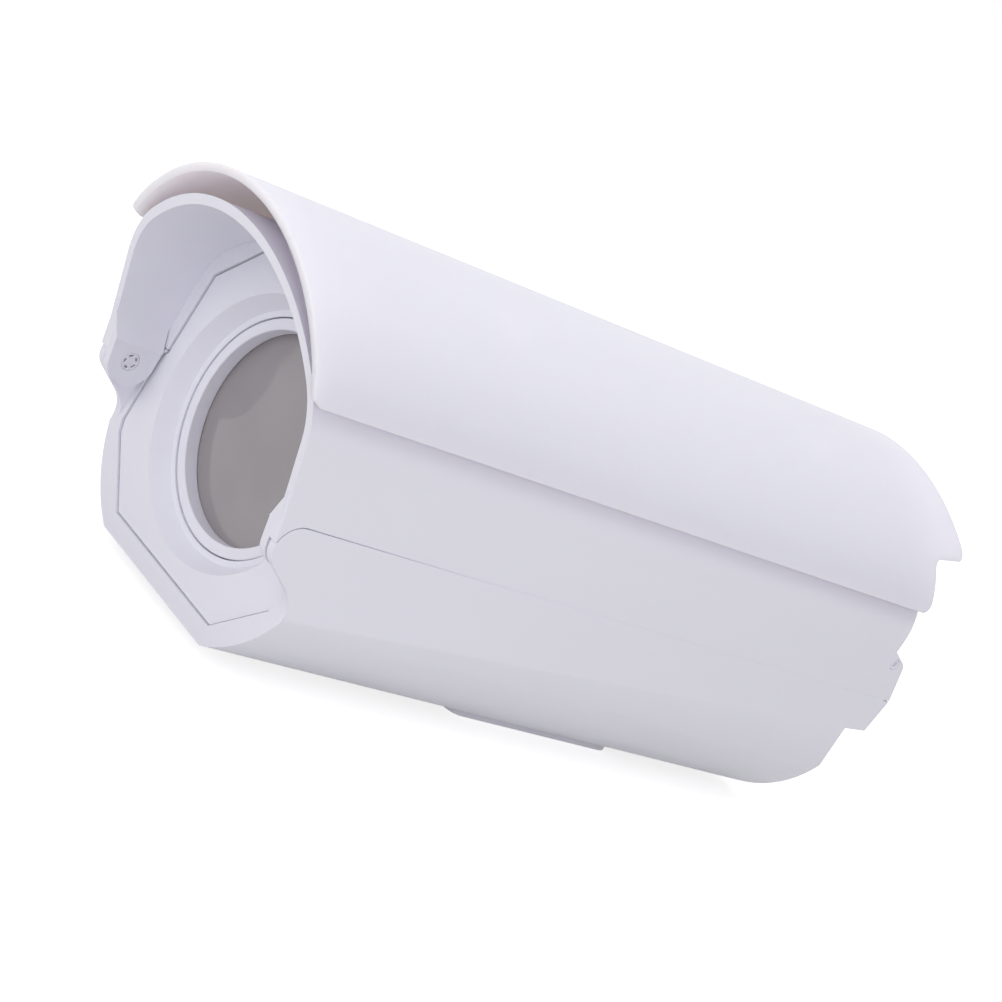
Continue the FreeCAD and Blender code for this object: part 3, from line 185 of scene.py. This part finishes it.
def ramp(tree, source, stops):
    """Colour ramp over a value; stops are (position, colour) pairs."""
    node = add_node(tree, "ValToRGB")
    elements = node.color_ramp.elements
    elements[0].position, elements[0].color = stops[0][0], (*stops[0][1], 1)
    elements[1].position, elements[1].color = stops[-1][0], (*stops[-1][1], 1)
    for position, colour in stops[1:-1]:
        elements.new(position).color = (*colour, 1)
    tree.links.new(source, node.inputs["Fac"])
    return node.outputs["Color"]


def spread(tree, source, low, high):
    """The value mapped from 0.3..0.7 to low..high."""
    span = {"From Min": 0.3, "From Max": 0.7, "To Min": low, "To Max": high}
    node = add_node(tree, "MapRange", span)
    tree.links.new(source, node.inputs["Value"])
    return node.outputs["Result"]


def bump(tree, shader, layers):
    """Bump layers as (height source, strength, distance in metres)."""
    normal = None
    for source, strength, distance in layers:
        node = add_node(tree, "Bump", {"Strength": strength, "Distance": distance})
        tree.links.new(source, node.inputs["Height"])
        if normal is not None:
            tree.links.new(normal, node.inputs["Normal"])
        normal = node.outputs["Normal"]
    tree.links.new(normal, shader.inputs["Normal"])


def scaled(colour, factor):
    return tuple(channel * factor for channel in colour)


def outward(tree):
    """1 where the surface faces away from the long axis of the tube, and 0 elsewhere."""
    place = add_node(tree, "TexCoord")
    arm = add_node(tree, "VectorMath", {1: (1, 0, 1), 2: (0, 0, -SEAM)}, operation="MULTIPLY_ADD")
    facing = add_node(tree, "VectorMath", operation="DOT_PRODUCT")
    pick = add_node(tree, "Math", {1: OUTWARD_MARGIN}, operation="GREATER_THAN")
    tree.links.new(place.outputs["Object"], arm.inputs[0])
    tree.links.new(arm.outputs["Vector"], facing.inputs[0])
    tree.links.new(place.outputs["Normal"], facing.inputs[1])
    tree.links.new(facing.outputs["Value"], pick.inputs[0])
    return pick.outputs[0]


def clouded(tree, cloud, colour):
    """The colour a little darker and lighter by the cloudiness."""
    tones = [(0.3, scaled(colour, 0.975)), (0.55, colour), (0.75, scaled(colour, 1.012))]
    return ramp(tree, cloud, tones)


def moulded_white(name, colour, rough, flow=ALONG_TUBE, inner_tone_painted_glow=None):
    """Satin moulded plastic: fine spark texture, flow marks along the tube, faint cloudiness.

    A thin sheet also takes a lighter, warmer colour for its inner side, which paints a warm glow
    there, and its inner side shows the light that comes through.
    """
    material, tree, shader = new_material(name)
    cloud = noise(tree, 14, 3.0, 0.55, flow)
    tone = clouded(tree, cloud, colour)
    if inner_tone_painted_glow:
        outer = outward(tree)
        # The outer side takes the colour given, which for the shield is darkened as painted shade;
        # the inner side takes the lighter, warmer painted-glow tone
        mix = add_node(tree, "Mix", data_type="RGBA")
        tree.links.new(outer, mix.inputs["Factor"])
        tree.links.new(clouded(tree, cloud, inner_tone_painted_glow), mix.inputs[MIX_FROM])
        tree.links.new(tone, mix.inputs[MIX_TO])
        tone = mix.outputs[MIX_RESULT]
        glow = {"To Min": SHEET_GLOW_INSIDE, "To Max": SHEET_GLOW_OUTSIDE}
        through = add_node(tree, "MapRange", glow)
        tree.links.new(outer, through.inputs["Value"])
        tree.links.new(through.outputs["Result"], shader.inputs["Subsurface Weight"])
        shader.inputs["Subsurface Radius"].default_value = (1.0, 0.8, 0.7)
        shader.inputs["Subsurface Scale"].default_value = 0.012
    tree.links.new(tone, shader.inputs["Base Color"])
    wear = noise(tree, 60, 4.0, 0.6, flow)
    tree.links.new(spread(tree, wear, rough - 0.05, rough + 0.07), shader.inputs["Roughness"])
    shader.inputs["IOR"].default_value = 1.47
    shader.inputs["Specular IOR Level"].default_value = 0.36
    grain = noise(tree, 2600, 2.0, 0.6)
    sink = noise(tree, 9, 2.0, 0.5, flow)
    bump(tree, shader, [(sink, 0.25, 0.0006), (grain, 0.16, 0.00004)])
    return material


def rubber(name, colour):
    """Matt rubber or silicone with a faint mottle."""
    material, tree, shader = new_material(name)
    mottle = noise(tree, 220, 4.0)
    tone = ramp(tree, mottle, [(0.3, scaled(colour, 0.8)), (0.7, scaled(colour, 1.2))])
    tree.links.new(tone, shader.inputs["Base Color"])
    tree.links.new(spread(tree, noise(tree, 400), 0.62, 0.85), shader.inputs["Roughness"])
    bump(tree, shader, [(noise(tree, 1800), 0.2, 0.00005)])
    return material


def glass(name):
    """Thin window pane, mostly opaque and grey: painted shade that stands in for the dim interior of
    the housing seen through it, with faint smears in its gloss.
    """
    material, tree, shader = new_material(name)
    painted_shade_noise = noise(tree, 20, 3.0)
    # The grey pane colour is painted shade of the dim interior of the housing behind the window
    tone = ramp(tree, painted_shade_noise, [(0.3, (0.405, 0.373, 0.389)), (0.7, (0.435, 0.403, 0.419))])
    tree.links.new(tone, shader.inputs["Base Color"])
    smears = noise(tree, 45, 5.0, 0.65)
    tree.links.new(spread(tree, smears, 0.02, 0.08), shader.inputs["Roughness"])
    tree.links.new(spread(tree, noise(tree, 30, 4.0), 0.74, 0.82), shader.inputs["Alpha"])
    shader.inputs["IOR"].default_value = 1.5
    return material


def metal(name, colour, rough, brush):
    """Bare metal with fine brush marks."""
    material, tree, shader = new_material(name)
    streaks = noise(tree, 300, 4.0, 0.6, brush)
    tone = ramp(tree, streaks, [(0.3, scaled(colour, 0.88)), (0.7, scaled(colour, 1.04))])
    tree.links.new(tone, shader.inputs["Base Color"])
    wear = noise(tree, 500, 4.0, 0.6, brush)
    tree.links.new(spread(tree, wear, rough - 0.07, rough + 0.1), shader.inputs["Roughness"])
    shader.inputs["Metallic"].default_value = 1.0
    bump(tree, shader, [(noise(tree, 900, 3.0, 0.6, brush), 0.12, 0.00003)])
    return material


def powder_coat(name, colour):
    """Powder-coated metal with a fine orange peel."""
    material, tree, shader = new_material(name)
    cloud = noise(tree, 40, 3.0)
    tone = ramp(tree, cloud, [(0.3, scaled(colour, 0.97)), (0.7, scaled(colour, 1.01))])
    tree.links.new(tone, shader.inputs["Base Color"])
    tree.links.new(spread(tree, noise(tree, 300, 3.0), 0.38, 0.52), shader.inputs["Roughness"])
    bump(tree, shader, [(noise(tree, 1100, 2.0, 0.5), 0.35, 0.00006)])
    return material


materials = {
    "white_shell": moulded_white("white_shell", WHITE, 0.42),
    "white_shield": moulded_white("white_shield", SHIELD_OUTSIDE_PAINTED_SHADE, 0.36, inner_tone_painted_glow=SHIELD_INSIDE_PAINTED_GLOW),
    "white_cap": moulded_white("white_cap", scaled(WHITE, 1.01), 0.4, EVEN),
    "white_pin": moulded_white("white_pin", scaled(WHITE, 0.97), 0.34, EVEN),
    "white_metal": powder_coat("white_metal", scaled(WHITE, 1.02)),
    "gland_plastic": moulded_white("gland_plastic", (0.62, 0.62, 0.65), 0.5, EVEN),
    "black_rubber": rubber("black_rubber", (0.034, 0.034, 0.035)),
    "grey_silicone": rubber("grey_silicone", (0.42, 0.42, 0.44)),
    "clear_glass": glass("clear_glass"),
    "plain_aluminium": metal("plain_aluminium", (0.72, 0.73, 0.75), 0.36, BRUSHED_ALONG),
    "steel": metal("steel", (0.58, 0.58, 0.60), 0.3, EVEN),
}
slot_of = {part["node"]: part["material_slot"] for part in frame["record"]["subparts"]}
bodies = frame["record"]["behaviour"]["bodies"]
body_of = {node: body for body, members in bodies.items() for node in members}


def linked(name, data):
    """New object with this data, linked to the scene."""
    obj = bpy.data.objects.new(name, data)
    bpy.context.scene.collection.objects.link(obj)
    return obj


def paint(obj, material):
    for slot in obj.material_slots:
        slot.material = material


def dressed(node, edge):
    """A copy of a CAD node with clean flats, rounded edges and smooth curves, in its place."""
    mesh = nodes[node].data.copy()
    mesh.name = node + "_dressed"
    work = bmesh.new()
    work.from_mesh(mesh)
    bmesh.ops.remove_doubles(work, verts=work.verts, dist=MERGE_DISTANCE)
    bmesh.ops.dissolve_limit(work, angle_limit=FLAT_ANGLE, verts=work.verts, edges=work.edges)
    work.to_mesh(mesh)
    work.free()
    if mesh.attributes.get("custom_normal"):
        mesh.attributes.remove(mesh.attributes["custom_normal"])
    piece = linked(node + "_piece", mesh)
    mesh.polygons.foreach_set("use_smooth", [True] * len(mesh.polygons))
    mesh.set_sharp_from_angle(angle=EDGE_ANGLE)
    rounding = piece.modifiers.new("edges", "BEVEL")
    rounding.width = edge
    rounding.segments = EDGE_SEGMENTS
    rounding.limit_method = "ANGLE"
    rounding.angle_limit = EDGE_ANGLE
    rounding.use_clamp_overlap = True
    rounding.miter_outer = "MITER_ARC"
    rounding.harden_normals = True
    mesh.materials.clear()
    mesh.materials.append(materials[slot_of[node]])
    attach(piece, body_of[node])
    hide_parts(node)


def lofted(name, rings, round_trip):
    """Mesh through rings of equally many points; closed end to end, or capped at both ends."""
    work = bmesh.new()
    loops = [[work.verts.new(point) for point in ring] for ring in rings]
    pairs = list(zip(loops, loops[1:]))
    if round_trip:
        pairs.append((loops[-1], loops[0]))
    for one, other in pairs:
        for i in range(len(one)):
            j = (i + 1) % len(one)
            work.faces.new((one[i], one[j], other[j], other[i]))
    if not round_trip:
        work.faces.new(list(reversed(loops[0])))
        work.faces.new(loops[-1])
    bmesh.ops.recalc_face_normals(work, faces=work.faces)
    mesh = bpy.data.meshes.new(name)
    work.to_mesh(mesh)
    work.free()
    return linked(name, mesh)


def finished(piece, slot, body):
    """Give a new piece its material and its body."""
    piece.data.materials.append(materials[slot])
    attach(piece, body)


def seam_lip(name, side):
    """Moulded lip on the trough that fills the seam, deep at the front and flush further back.

    Where it lies within the rounded edges of the shells, its mouth widens with them.
    """
    root = SIDE - LIP_ROOT
    rings = []
    for y, depth in SEAM_LIP:
        flare = max(0.0, SHELL_EDGE - depth)
        mouth = SEAM_HALF_GAP + SHELL_EDGE - math.sqrt(SHELL_EDGE ** 2 - flare ** 2) - LIP_FIT
        face = SIDE - depth
        neck = SIDE - SHELL_EDGE
        if depth > SHELL_EDGE:
            neck -= SHELL_EDGE
        profile = [
            (root, -LIP_HALF_THICKNESS), (neck, -LIP_HALF_THICKNESS), (face, -mouth),
            (face, mouth), (neck, LIP_HALF_THICKNESS), (root, LIP_HALF_THICKNESS),
        ]
        rings.append([(side * x, y, SEAM + z) for x, z in profile])
    finished(lofted(name, rings, False), "white_shell", "base")


def groove_bead():
    """Edge of the gasket that shows in the groove round the front cap."""
    right = [(x, z, depth) for (x, z), depth in zip(CAP_HALF_OUTLINE, GROOVE_DEPTH)]
    outline = right + [(-x, z, depth) for x, z, depth in reversed(right)]
    rings = []
    for i, (x, z, depth) in enumerate(outline):
        before = Vector(outline[i - 1][:2])
        after = Vector(outline[(i + 1) % len(outline)][:2])
        here = Vector((x, z))
        ways = [(here - before).normalized(), (after - here).normalized()]
        sides = [Vector((way.y, -way.x)) for way in ways]
        mitre = (sides[0] + sides[1]).normalized()
        stretch = 1 / mitre.dot(sides[0])
        inner = here + mitre * BEAD_INNER * stretch
        outer = here + mitre * BEAD_OUTER * stretch
        front = CAP_FACE + depth
        rings.append([
            (inner.x, front, inner.y), (outer.x, front, outer.y),
            (outer.x, LIP_BACK, outer.y), (inner.x, LIP_BACK, inner.y),
        ])
    finished(lofted("groove_bead", rings, True), "grey_silicone", "base")


def camera():
    data = bpy.data.cameras.new("view")
    data.sensor_width = CAMERA_SENSOR
    data.lens = CAMERA_LENS
    data.clip_start = 0.01
    obj = linked("view", data)
    turn = Matrix((CAMERA_RIGHT, CAMERA_UP, CAMERA_BACK)).transposed()
    obj.matrix_world = Matrix.Translation(CAMERA_PLACE) @ turn.to_4x4()
    bpy.context.scene.camera = obj


def area_light(name, place, target, side, watts):
    data = bpy.data.lights.new(name, "AREA")
    data.shape = "RECTANGLE"
    data.size = data.size_y = side
    data.energy = watts
    obj = linked(name, data)
    way = Vector(target) - Vector(place)
    obj.location = place
    obj.rotation_euler = way.to_track_quat("-Z", "Y").to_euler()


def background_rays(tree):
    """1 for the rays that show the background: what the camera, gloss and glass see."""
    path = add_node(tree, "LightPath")
    seen = path.outputs["Is Camera Ray"]
    for ray in ("Is Glossy Ray", "Is Transmission Ray"):
        either = add_node(tree, "Math", operation="MAXIMUM")
        tree.links.new(seen, either.inputs[0])
        tree.links.new(path.outputs[ray], either.inputs[1])
        seen = either.outputs[0]
    return seen


def world():
    """Even studio light; the camera, gloss and glass see plain white."""
    studio = bpy.data.worlds.new("studio")
    bpy.context.scene.world = studio
    studio.use_nodes = True
    tree = studio.node_tree
    tree.nodes.clear()
    seen = add_node(tree, "Background", {"Color": (1, 1, 1, 1), "Strength": WORLD_SEEN})
    lit = add_node(tree, "Background", {"Color": (1, 1, 1, 1), "Strength": WORLD_LIGHT})
    mix = add_node(tree, "MixShader")
    out = add_node(tree, "OutputWorld")
    tree.links.new(background_rays(tree), mix.inputs["Fac"])
    tree.links.new(lit.outputs[0], mix.inputs[1])
    tree.links.new(seen.outputs[0], mix.inputs[2])
    tree.links.new(mix.outputs[0], out.inputs["Surface"])


def floor():
    """Pale floor that keeps the shadow; the camera, gloss and glass see it lifted to white."""
    mesh = bpy.data.meshes.new("floor")
    corners = [(-1, -1), (1, -1), (1, 1), (-1, 1)]
    mesh.from_pydata([(x * FLOOR_REACH, y * FLOOR_REACH, 0) for x, y in corners], [], [(0, 1, 2, 3)])
    obj = linked("floor", mesh)
    obj.location.z = -FLOOR_DROP
    material, tree, shader = new_material("floor")
    shader.inputs["Base Color"].default_value = (FLOOR_GREY, FLOOR_GREY, FLOOR_GREY, 1)
    shader.inputs["Roughness"].default_value = 0.9
    shader.inputs["Specular IOR Level"].default_value = 0.0
    glow = add_node(tree, "Emission", {"Strength": FLOOR_SEEN})
    black = add_node(tree, "Emission", {"Strength": 0.0})
    pick = add_node(tree, "MixShader")
    add = add_node(tree, "AddShader")
    tree.links.new(background_rays(tree), pick.inputs["Fac"])
    tree.links.new(black.outputs[0], pick.inputs[1])
    tree.links.new(glow.outputs[0], pick.inputs[2])
    tree.links.new(shader.outputs[0], add.inputs[0])
    tree.links.new(pick.outputs[0], add.inputs[1])
    tree.links.new(add.outputs[0], tree.nodes["Material Output"].inputs["Surface"])
    mesh.materials.append(material)


for node, obj in nodes.items():
    paint(obj, materials[slot_of[node]])
for node, edge in EDGES.items():
    dressed(node, edge)
seam_lip("seam_lip_right", 1)
seam_lip("seam_lip_left", -1)
groove_bead()
camera()
world()
floor()
for light in LIGHTS:
    area_light(*light)

bpy.context.scene.view_settings.view_transform = "Standard"
